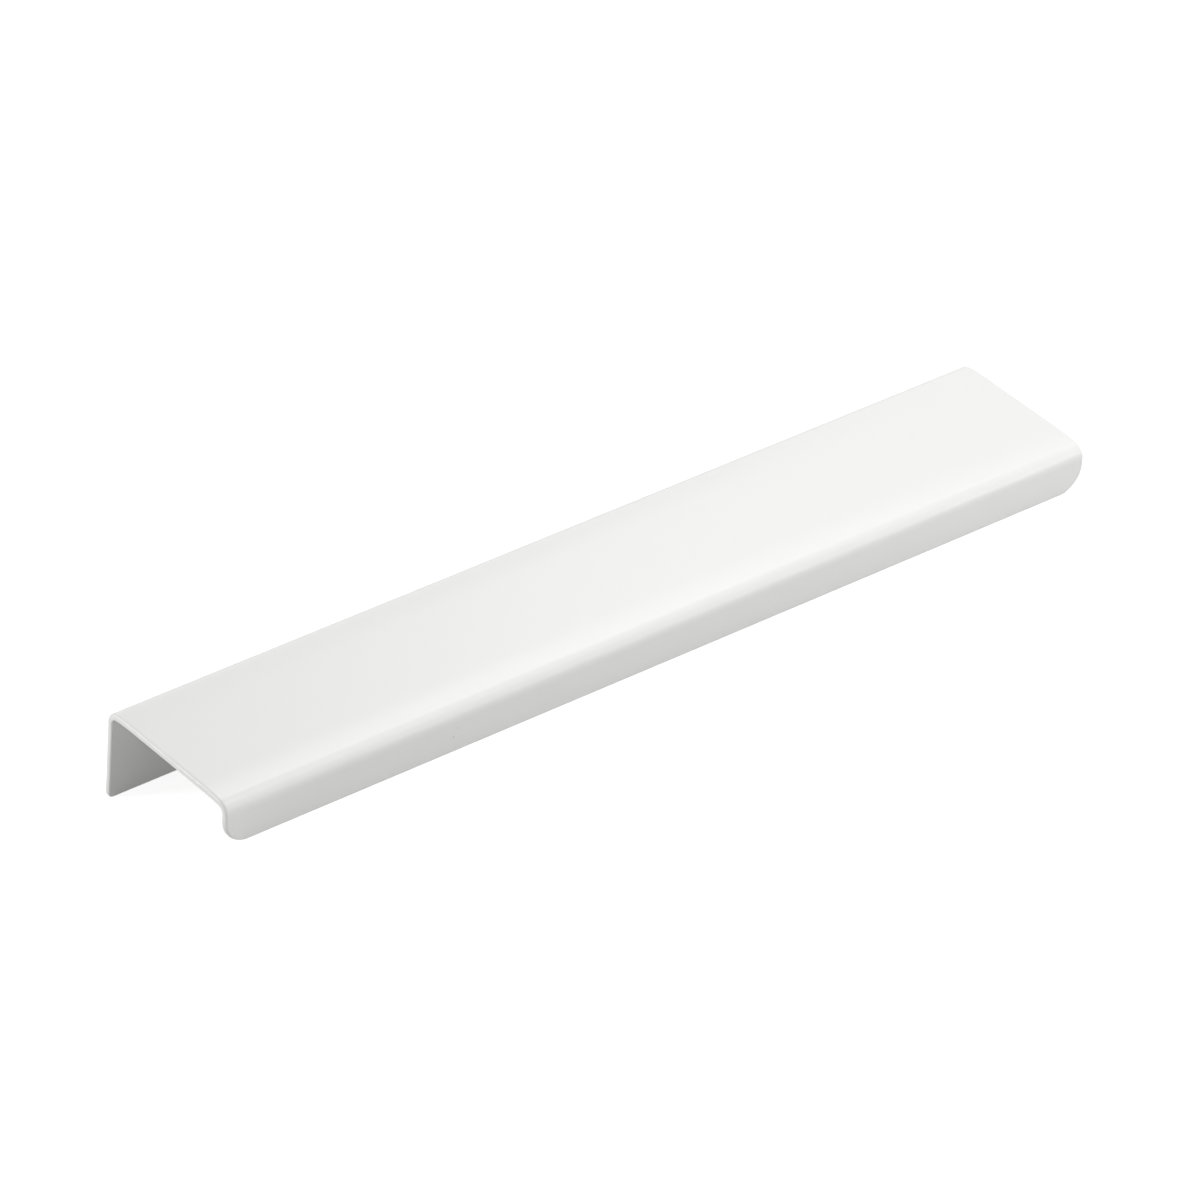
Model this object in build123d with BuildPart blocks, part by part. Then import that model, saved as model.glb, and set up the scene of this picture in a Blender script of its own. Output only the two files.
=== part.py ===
"""Lip pull: a cabinet handle bent from one piece of powder-coated sheet.

The back flange screws to the back of a door or drawer front, the top plate lies on the front's edge,
and the lip in front is what the fingers pull. It is stored as it lies on a level floor, on the feet of
the flange and the lip, so that the top plate slopes down to the front.

Frame: +X along the pull, +Y to the back, +Z up. The origin is on the floor under the middle of the pull.
"""

from build123d import *
import math
import os

# Driving dimensions, in millimetres and degrees
pull_length = 200.0
top_depth = 35.0  # back face of the flange to front face of the lip
flange_height = 19.2  # top face to the flange's foot
lip_height = 9.4  # top face to the lip's foot
sheet_thickness = 1.3  # the sheet with its coat
inside_bend_radius = 1.3
crown_length = 5.0  # slight rounding of the top plate before each bend
crown_angle = 6.0
lip_corner_radius = 5.2
flange_corner_radius = 1.0
outer_rim_radius = 0.5  # cut edges of the outer face, rolled over by the punch and rounded by the coat
inner_rim_radius = 0.3  # cut edges of the inner face, rounded by the coat alone
screw_end_distance = 20.0  # end of the pull to the nearest screw hole
screw_hole_diameter = 4.0
screw_hole_land = 0.3  # straight wall of the hole left under its countersink
countersink_angle = 90.0

# A whole bend, crown included: its reach along the top plate and its drop down the wall
bend_radius = inside_bend_radius + sheet_thickness
bend_turn = 90.0 - crown_angle
crown_radius = crown_length / math.radians(crown_angle)
crown_sine = math.sin(math.radians(crown_angle))
crown_cosine = math.cos(math.radians(crown_angle))
bend_reach = crown_radius * crown_sine + bend_radius * (1.0 - crown_sine)
bend_drop = crown_radius * (1.0 - crown_cosine) + bend_radius * crown_cosine

# Roundings, held to what their wall has room for
outer_rim_fillet = min(outer_rim_radius, 0.45 * sheet_thickness)
inner_rim_fillet = min(inner_rim_radius, 0.45 * sheet_thickness)
lip_corner_fillet = min(lip_corner_radius, lip_height - bend_drop - outer_rim_fillet)
flange_corner_fillet = min(flange_corner_radius, flange_height - bend_drop - outer_rim_fillet)

# The slope at which the pull lies on its feet: the floor is the common tangent of the flange's inner rim
# and the lip's outer rim. With it comes the box that the pull then fills
rim_step = outer_rim_fillet - inner_rim_fillet
feet_rise = flange_height - lip_height + rim_step
feet_reach = top_depth - sheet_thickness - rim_step
rest_slope = math.atan2(feet_rise, feet_reach) - math.asin(rim_step / math.hypot(feet_rise, feet_reach))
slope_sine = math.sin(rest_slope)
slope_cosine = math.cos(rest_slope)
front_most = (bend_radius - top_depth) * slope_cosine + bend_drop * slope_sine - bend_radius
back_most = (flange_height - outer_rim_fillet) * slope_sine + outer_rim_fillet * (1.0 - slope_cosine)
foot_across = sheet_thickness - inner_rim_fillet
foot_down = flange_height - inner_rim_fillet
foot_level = foot_across * slope_sine + foot_down * slope_cosine + inner_rim_fillet

# The section's plane: its origin is where the top face and the flange's back face would meet,
# with local x to the back and local y up, both turned by the resting slope
section_plane = Plane(
    origin=(0.0, -(front_most + back_most) / 2.0, foot_level),
    x_dir=(0.0, slope_cosine, slope_sine),
    z_dir=(1.0, 0.0, 0.0),
)
across = Axis(section_plane.origin, section_plane.x_dir)
upward = Axis(section_plane.origin, section_plane.y_dir)

# Screw holes halfway down the flat of the flange, seen from its back
screw_level = -(bend_drop + flange_height) / 2.0
screw_plane = Plane(
    origin=section_plane.from_local_coords((0.0, screw_level, 0.0)),
    x_dir=(1.0, 0.0, 0.0),
    z_dir=section_plane.x_dir,
)
screw_pitch = pull_length - 2.0 * screw_end_distance
screw_hole_radius = screw_hole_diameter / 2.0
countersink_depth = sheet_thickness - screw_hole_land
countersink_radius = screw_hole_radius + countersink_depth * math.tan(math.radians(countersink_angle / 2.0))


def on_outer_face(edge):
    """Whether an edge lies on the sheet's outer face, which the section's drawn line follows."""
    middle = section_plane.to_local_coords(edge @ 0.5)
    return outer_line.distance_to(Vector(middle.X, middle.Y, 0.0)) < sheet_thickness / 2.0


with BuildPart() as lip_pull:
    # Section: flange, back bend, top plate, front bend and lip, thickened inwards from the outer face
    with BuildSketch(section_plane):
        with BuildLine() as section:
            flange = Line((0.0, -flange_height), (0.0, -bend_drop))
            back_bend = JernArc(flange @ 1, flange % 1, bend_radius, bend_turn)
            back_crown = JernArc(back_bend @ 1, back_bend % 1, crown_radius, crown_angle)
            top_plate = Line(back_crown @ 1, (bend_reach - top_depth, 0.0))
            front_crown = JernArc(top_plate @ 1, top_plate % 1, crown_radius, crown_angle)
            front_bend = JernArc(front_crown @ 1, front_crown % 1, bend_radius, bend_turn)
            Line(front_bend @ 1, (-top_depth, -lip_height))
            outer_line = section.wire()
            offset(amount=sheet_thickness, side=Side.LEFT)
        make_face()
    extrude(amount=pull_length / 2.0, both=True)

    # Rounded lower corners of the lip and of the flange, seen from the front
    lip_wall = (-top_depth, sheet_thickness - top_depth)
    flange_wall = (-sheet_thickness, 0.0)
    lip_corners = edges().filter_by(across).filter_by_position(across, *lip_wall)
    fillet(lip_corners, lip_corner_fillet)
    flange_corners = edges().filter_by(across).filter_by_position(across, *flange_wall)
    fillet(flange_corners, flange_corner_fillet)

    # Rim: every edge of the sheet but the lines where the bends and the corners run in smoothly
    bend_lines = edges().filter_by(Axis.X).filter_by_position(upward, -bend_drop - outer_rim_fillet, 0.0)
    lip_seams = edges().filter_by(across).filter_by_position(across, *lip_wall)
    flange_seams = edges().filter_by(across).filter_by_position(across, *flange_wall)
    smooth_lines = bend_lines + lip_seams + flange_seams
    rim = edges().filter_by(lambda edge: edge not in smooth_lines)
    outer_rim = rim.filter_by(on_outer_face)
    fillet(outer_rim, outer_rim_fillet)
    fillet(rim - outer_rim, inner_rim_fillet)

    # Screw holes through the flange alone, countersunk on its back
    with Locations(screw_plane):
        with GridLocations(screw_pitch, 0.0, 2, 1):
            CounterSinkHole(
                radius=screw_hole_radius,
                counter_sink_radius=countersink_radius,
                depth=2.0 * sheet_thickness,
                counter_sink_angle=countersink_angle,
            )

lip_pull.part.label = "lip_pull"
os.makedirs("parts", exist_ok=True)
export_step(lip_pull.part, "parts/lip_pull.step")
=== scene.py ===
"""Lip pull in white powder coat: the finish of its bent sheet, and the plain pale studio that shows it.

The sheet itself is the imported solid. Lengths are in metres, in the frame of the solid: +X along the pull,
+Y to its back and +Z up, with the floor at zero.
"""

import math
from typing import NamedTuple

import bpy
from bpy.props import FloatProperty, FloatVectorProperty, PointerProperty
from bpy.types import Operator, Panel, PropertyGroup
from mathutils import Matrix, Vector

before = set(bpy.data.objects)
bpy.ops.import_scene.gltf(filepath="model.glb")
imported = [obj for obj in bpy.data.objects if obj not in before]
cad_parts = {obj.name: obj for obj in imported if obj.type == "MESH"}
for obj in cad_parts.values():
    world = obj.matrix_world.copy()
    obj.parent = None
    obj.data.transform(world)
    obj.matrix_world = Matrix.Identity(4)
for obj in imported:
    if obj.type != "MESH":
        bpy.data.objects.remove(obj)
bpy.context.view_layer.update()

bl_info = {
    "name": "Lip Pull",
    "version": (1, 0, 0),
    "blender": (4, 5, 0),
    "location": "3D View > Sidebar > Lip Pull",
    "description": "White powder coat for a bent-sheet lip pull, and a plain studio to look at it in",
    "category": "Object",
}

MILLIMETRE = 0.001
SHEET_NODE = "lip_pull"
SENSOR_WIDTH = 36.0  # of the camera, in millimetres

# Detail of the noise behind the coat's tone, satin and orange peel
TONE_DETAIL = 0.0
SATIN_DETAIL = 2.0
PEEL_DETAIL = 1.0


class Softbox(NamedTuple):
    """A rectangular lamp that faces the pull, placed by two angles in degrees and a distance. Azimuth is
    counted from +X towards +Y. At a brightness of 1 the lamp's face looks white."""

    name: str
    azimuth: float
    elevation: float
    distance: float
    width: float
    height: float
    brightness: float


SOFTBOXES = (
    Softbox("key_softbox", 19.0, 57.0, 0.87, 0.42, 0.31, 4.60),
    Softbox("right_softbox", 350.0, 55.0, 1.10, 0.50, 0.40, 0.90),
    Softbox("right_strip", 335.0, 10.0, 0.40, 0.20, 0.10, 1.55),
    Softbox("front_right_softbox", 310.0, 50.0, 1.10, 0.50, 0.50, 4.10),
    Softbox("front_softbox", 310.0, 18.0, 0.86, 0.60, 0.60, 0.80),
    Softbox("front_strip", 305.0, 6.0, 0.45, 0.25, 0.08, 3.85),
    Softbox("front_left_softbox", 220.0, 8.0, 0.90, 0.50, 0.20, 4.45),
    Softbox("back_left_softbox", 142.0, 20.0, 1.10, 0.50, 0.25, 14.0),
    Softbox("back_right_softbox", 50.0, 33.0, 1.10, 0.50, 0.40, 0.90),
)


class Speck(NamedTuple):
    """A speck of dirt in the coat: its place, its diameter, and how well it hides the coat."""

    place: tuple
    diameter: float
    cover: float


LIP_SPECKS = (
    Speck((-0.04950, -0.01812, 0.00319), 0.00040, 0.75),
    Speck((-0.04867, -0.01858, 0.00480), 0.00040, 0.40),
)


class CoatSettings(PropertyGroup):
    """Colour and surface of the powder coat."""

    colour: FloatVectorProperty(
        name="Colour",
        description="Colour of the powder coat",
        subtype="COLOR",
        size=3,
        min=0.0,
        max=1.0,
        default=(0.870, 0.870, 0.855),
    )
    roughness: FloatProperty(
        name="Roughness",
        description="Satin of the coat, from mirror to chalk",
        subtype="FACTOR",
        min=0.0,
        max=1.0,
        default=0.30,
    )
    roughness_spread: FloatProperty(
        name="Roughness Spread",
        description="How far the satin strays to each side over the surface",
        subtype="FACTOR",
        min=0.0,
        max=0.2,
        default=0.015,
    )
    roughness_width: FloatProperty(
        name="Roughness Width",
        description="Distance over which the satin strays",
        unit="LENGTH",
        default=5.0 * MILLIMETRE,
    )
    tone_spread: FloatProperty(
        name="Tone Spread",
        description="How much darker the coat is where it lies thinnest",
        subtype="FACTOR",
        min=0.0,
        max=0.2,
        default=0.012,
    )
    tone_width: FloatProperty(
        name="Tone Width",
        description="Distance over which the tone strays",
        unit="LENGTH",
        default=70.0 * MILLIMETRE,
    )
    dirt_colour: FloatVectorProperty(
        name="Dirt Colour",
        description="Colour of the specks under the coat",
        subtype="COLOR",
        size=3,
        min=0.0,
        max=1.0,
        default=(0.12, 0.11, 0.10),
    )
    peel_width: FloatProperty(
        name="Peel Width",
        description="Distance from one dimple of the coat's orange peel to the next",
        unit="LENGTH",
        default=1.6 * MILLIMETRE,
    )
    peel_depth: FloatProperty(
        name="Peel Depth",
        description="Depth of the dimples of the orange peel",
        unit="LENGTH",
        default=0.004 * MILLIMETRE,
    )


class StageSettings(PropertyGroup):
    """Floor, light and camera of the plain studio."""

    floor_size: FloatProperty(
        name="Floor Size",
        description="Side of the square floor",
        unit="LENGTH",
        default=8.0,
    )
    floor_colour: FloatVectorProperty(
        name="Floor Colour",
        description="Colour of the pale floor, by which it lights the pull from below",
        subtype="COLOR",
        size=3,
        min=0.0,
        max=1.0,
        default=(0.60, 0.60, 0.60),
    )
    floor_glow: FloatProperty(
        name="Floor Glow",
        description="White that the floor adds where it is looked at, so that it shows as white paper",
        min=0.0,
        max=1.0,
        default=0.8,
    )
    mirrored_glow: FloatProperty(
        name="Mirrored Glow",
        description="White that the floor adds in reflections, so that open floor is just white there",
        min=0.0,
        max=1.0,
        default=0.4,
    )
    room_light: FloatProperty(
        name="Room Light",
        description="Even light from all around",
        min=0.0,
        default=0.185,
    )
    light_level: FloatProperty(
        name="Light Level",
        description="Strength of all softboxes together",
        subtype="FACTOR",
        min=0.0,
        default=1.0,
    )
    aim: FloatVectorProperty(
        name="Aim",
        description="Point in the middle of the picture",
        subtype="TRANSLATION",
        unit="LENGTH",
        size=3,
        default=(-0.814 * MILLIMETRE, 0.118 * MILLIMETRE, 8.033 * MILLIMETRE),
    )
    view_azimuth: FloatProperty(
        name="View Azimuth",
        description="Turn of the line of sight from straight towards the back of the pull to its right end",
        subtype="ANGLE",
        default=math.radians(35.831),
    )
    view_elevation: FloatProperty(
        name="View Elevation",
        description="How steeply the camera looks down",
        subtype="ANGLE",
        default=math.radians(22.200),
    )
    view_roll: FloatProperty(
        name="View Roll",
        description="Turn of the camera about its line of sight",
        subtype="ANGLE",
        default=math.radians(-7.263),
    )
    view_distance: FloatProperty(
        name="View Distance",
        description="Camera to the point that it is aimed at",
        subtype="DISTANCE",
        unit="LENGTH",
        default=1534.141 * MILLIMETRE,
    )
    focal_length: FloatProperty(
        name="Focal Length",
        description="Lens, in millimetres, on a sensor 36 mm wide",
        default=253.226,
    )


def add_node(tree, kind, **values):
    """A new shader node, with its properties set by name."""
    node = tree.nodes.new(kind)
    for name, value in values.items():
        setattr(node, name, value)
    return node


def new_material(name):
    """An empty node material, with its tree and its output node."""
    material = bpy.data.materials.new(name)
    material.use_nodes = True
    tree = material.node_tree
    tree.nodes.clear()
    return material, tree, add_node(tree, "ShaderNodeOutputMaterial")


def seen_directly(tree):
    """Mask of the rays by which the camera, a reflection or a clear piece shows what it looks at."""
    path = add_node(tree, "ShaderNodeLightPath")
    mask = path.outputs["Is Camera Ray"]
    for kind in ("Is Glossy Ray", "Is Transmission Ray"):
        either = add_node(tree, "ShaderNodeMath", operation="MAXIMUM")
        tree.links.new(mask, either.inputs[0])
        tree.links.new(path.outputs[kind], either.inputs[1])
        mask = either.outputs["Value"]
    return mask


def powder_coat(coat):
    """Satin white powder coat: faint orange peel, a tone and a satin that hardly stray, and specks."""
    material, tree, output = new_material("white_powder_coat")
    shader = add_node(tree, "ShaderNodeBsdfPrincipled")
    place = add_node(tree, "ShaderNodeTexCoord")
    tree.links.new(shader.outputs["BSDF"], output.inputs["Surface"])

    def noise(width, detail):
        """Noise over the sheet, with the given distance from one of its clouds to the next."""
        cloud = add_node(tree, "ShaderNodeTexNoise")
        cloud.inputs["Scale"].default_value = 1.0 / width
        cloud.inputs["Detail"].default_value = detail
        tree.links.new(place.outputs["Object"], cloud.inputs["Vector"])
        return cloud.outputs["Fac"]

    # Tone: a touch darker where the coat lies thin
    thin = Vector(coat.colour) * (1.0 - coat.tone_spread)
    tone = add_node(tree, "ShaderNodeMix", data_type="RGBA")
    tone.inputs["A"].default_value = (*thin, 1.0)
    tone.inputs["B"].default_value = (*coat.colour, 1.0)
    tree.links.new(noise(coat.tone_width, TONE_DETAIL), tone.inputs["Factor"])
    colour = tone.outputs["Result"]

    # Specks of dirt on the lip, densest in the middle
    for speck in LIP_SPECKS:
        away = add_node(tree, "ShaderNodeVectorMath", operation="DISTANCE")
        away.inputs[1].default_value = speck.place
        tree.links.new(place.outputs["Object"], away.inputs[0])
        spot = add_node(tree, "ShaderNodeMapRange", interpolation_type="SMOOTHSTEP")
        spot.inputs["From Max"].default_value = 0.5 * speck.diameter
        spot.inputs["To Min"].default_value = speck.cover
        spot.inputs["To Max"].default_value = 0.0
        tree.links.new(away.outputs["Value"], spot.inputs["Value"])
        dirt = add_node(tree, "ShaderNodeMix", data_type="RGBA")
        dirt.inputs["B"].default_value = (*coat.dirt_colour, 1.0)
        tree.links.new(spot.outputs["Result"], dirt.inputs["Factor"])
        tree.links.new(colour, dirt.inputs["A"])
        colour = dirt.outputs["Result"]
    tree.links.new(colour, shader.inputs["Base Color"])

    # Satin
    satin = add_node(tree, "ShaderNodeMapRange")
    satin.inputs["To Min"].default_value = coat.roughness - coat.roughness_spread
    satin.inputs["To Max"].default_value = coat.roughness + coat.roughness_spread
    tree.links.new(noise(coat.roughness_width, SATIN_DETAIL), satin.inputs["Value"])
    tree.links.new(satin.outputs["Result"], shader.inputs["Roughness"])

    # Orange peel
    peel = add_node(tree, "ShaderNodeBump")
    peel.inputs["Strength"].default_value = 1.0
    peel.inputs["Distance"].default_value = coat.peel_depth
    tree.links.new(noise(coat.peel_width, PEEL_DETAIL), peel.inputs["Height"])
    tree.links.new(peel.outputs["Normal"], shader.inputs["Normal"])
    return material


def studio_floor(stage):
    """Pale floor that lights the pull as a matt sheet, and shows as white paper with a soft shadow."""
    material, tree, output = new_material("studio_floor")
    matt = add_node(tree, "ShaderNodeBsdfDiffuse")
    matt.inputs["Color"].default_value = (*stage.floor_colour, 1.0)
    glow = add_node(tree, "ShaderNodeEmission")

    # Strength of the glow: a sum with one share for each kind of ray that looks at the floor
    path = add_node(tree, "ShaderNodeLightPath")
    shares = {
        "Is Camera Ray": stage.floor_glow,
        "Is Glossy Ray": stage.mirrored_glow,
        "Is Transmission Ray": stage.mirrored_glow,
    }
    rest = glow.inputs["Strength"]
    for ray, share in shares.items():
        part = add_node(tree, "ShaderNodeMath", operation="MULTIPLY_ADD")
        part.inputs[1].default_value = share
        part.inputs[2].default_value = 0.0
        tree.links.new(path.outputs[ray], part.inputs[0])
        tree.links.new(part.outputs["Value"], rest)
        rest = part.inputs[2]

    paper = add_node(tree, "ShaderNodeAddShader")
    tree.links.new(matt.outputs["BSDF"], paper.inputs[0])
    tree.links.new(glow.outputs["Emission"], paper.inputs[1])
    tree.links.new(paper.outputs["Shader"], output.inputs["Surface"])
    return material


def studio_room(stage):
    """World that lights the pull evenly, and shows as plain white."""
    world = bpy.data.worlds.new("studio_room")
    world.use_nodes = True
    tree = world.node_tree
    tree.nodes.clear()
    light = add_node(tree, "ShaderNodeBackground")
    light.inputs["Strength"].default_value = stage.room_light
    white = add_node(tree, "ShaderNodeBackground")
    for background in (light, white):
        background.inputs["Color"].default_value = (1.0, 1.0, 1.0, 1.0)
    look = add_node(tree, "ShaderNodeMixShader")
    output = add_node(tree, "ShaderNodeOutputWorld")
    tree.links.new(seen_directly(tree), look.inputs["Fac"])
    tree.links.new(light.outputs["Background"], look.inputs[1])
    tree.links.new(white.outputs["Background"], look.inputs[2])
    tree.links.new(look.outputs["Shader"], output.inputs["Surface"])
    return world


def hang_softbox(scene, stage, box):
    """One softbox, turned to the point that the camera is aimed at."""
    lamp = bpy.data.lights.new(box.name, "AREA")
    lamp.shape = "RECTANGLE"
    lamp.size = box.width
    lamp.size_y = box.height
    lamp.energy = math.pi * box.width * box.height * box.brightness * stage.light_level
    holder = bpy.data.objects.new(box.name, lamp)
    holder.visible_camera = False
    azimuth = math.radians(box.azimuth)
    elevation = math.radians(box.elevation)
    level = math.cos(elevation)
    towards = Vector((level * math.cos(azimuth), level * math.sin(azimuth), math.sin(elevation)))
    turn = towards.to_track_quat("Z", "Y").to_matrix().to_4x4()
    holder.matrix_world = Matrix.Translation(Vector(stage.aim) + box.distance * towards) @ turn
    scene.collection.objects.link(holder)


def place_camera(scene, stage):
    """Long-lens camera at the viewing angle."""
    lens = bpy.data.cameras.new("camera")
    lens.sensor_width = SENSOR_WIDTH
    lens.lens = stage.focal_length
    camera = bpy.data.objects.new("camera", lens)
    heading = Matrix.Rotation(-stage.view_azimuth, 4, "Z")
    tilt = Matrix.Rotation(math.radians(90.0) - stage.view_elevation, 4, "X")
    roll = Matrix.Rotation(stage.view_roll, 4, "Z")
    back = Matrix.Translation((0.0, 0.0, stage.view_distance))
    camera.matrix_world = Matrix.Translation(stage.aim) @ heading @ tilt @ roll @ back
    scene.collection.objects.link(camera)
    scene.camera = camera


class LIP_PULL_OT_coat_sheet(Operator):
    """Coat the bent sheet of the pull with white powder"""

    bl_idname = "lip_pull.coat_sheet"
    bl_label = "Coat Sheet"
    bl_options = {"REGISTER", "UNDO"}

    def execute(self, context):
        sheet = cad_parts[SHEET_NODE]
        if not sheet.material_slots:
            raise RuntimeError("the sheet has no material slot to coat")
        coat = powder_coat(context.scene.lip_pull_coat)
        for slot in sheet.material_slots:
            slot.material = coat
        return {"FINISHED"}


class LIP_PULL_OT_set_stage(Operator):
    """Lay the pale floor, hang the softboxes and place the camera"""

    bl_idname = "lip_pull.set_stage"
    bl_label = "Set Stage"
    bl_options = {"REGISTER", "UNDO"}

    def execute(self, context):
        scene = context.scene
        stage = scene.lip_pull_stage
        bpy.ops.mesh.primitive_plane_add(size=stage.floor_size)
        floor = context.object
        floor.name = "floor"
        floor.data.materials.append(studio_floor(stage))
        scene.world = studio_room(stage)
        for box in SOFTBOXES:
            hang_softbox(scene, stage, box)
        place_camera(scene, stage)
        scene.view_settings.view_transform = "Standard"
        return {"FINISHED"}


class LIP_PULL_PT_panel(Panel):
    """Settings and steps of the lip pull"""

    bl_idname = "LIP_PULL_PT_panel"
    bl_label = "Lip Pull"
    bl_space_type = "VIEW_3D"
    bl_region_type = "UI"
    bl_category = "Lip Pull"

    def draw(self, context):
        steps = (
            (LIP_PULL_OT_coat_sheet, context.scene.lip_pull_coat),
            (LIP_PULL_OT_set_stage, context.scene.lip_pull_stage),
        )
        for step, settings in steps:
            column = self.layout.column()
            for name in settings.__annotations__:
                column.prop(settings, name)
            column.operator(step.bl_idname)


CLASSES = (CoatSettings, StageSettings, LIP_PULL_OT_coat_sheet, LIP_PULL_OT_set_stage, LIP_PULL_PT_panel)


def register():
    """Add the settings, the steps and the panel to Blender."""
    for kind in CLASSES:
        bpy.utils.register_class(kind)
    bpy.types.Scene.lip_pull_coat = PointerProperty(type=CoatSettings)
    bpy.types.Scene.lip_pull_stage = PointerProperty(type=StageSettings)


def unregister():
    """Take the settings, the steps and the panel out of Blender again."""
    del bpy.types.Scene.lip_pull_stage
    del bpy.types.Scene.lip_pull_coat
    for kind in reversed(CLASSES):
        bpy.utils.unregister_class(kind)


def main():
    """Coat the pull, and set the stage."""
    register()
    bpy.ops.lip_pull.coat_sheet()
    bpy.ops.lip_pull.set_stage()


if __name__ == "__main__":
    main()
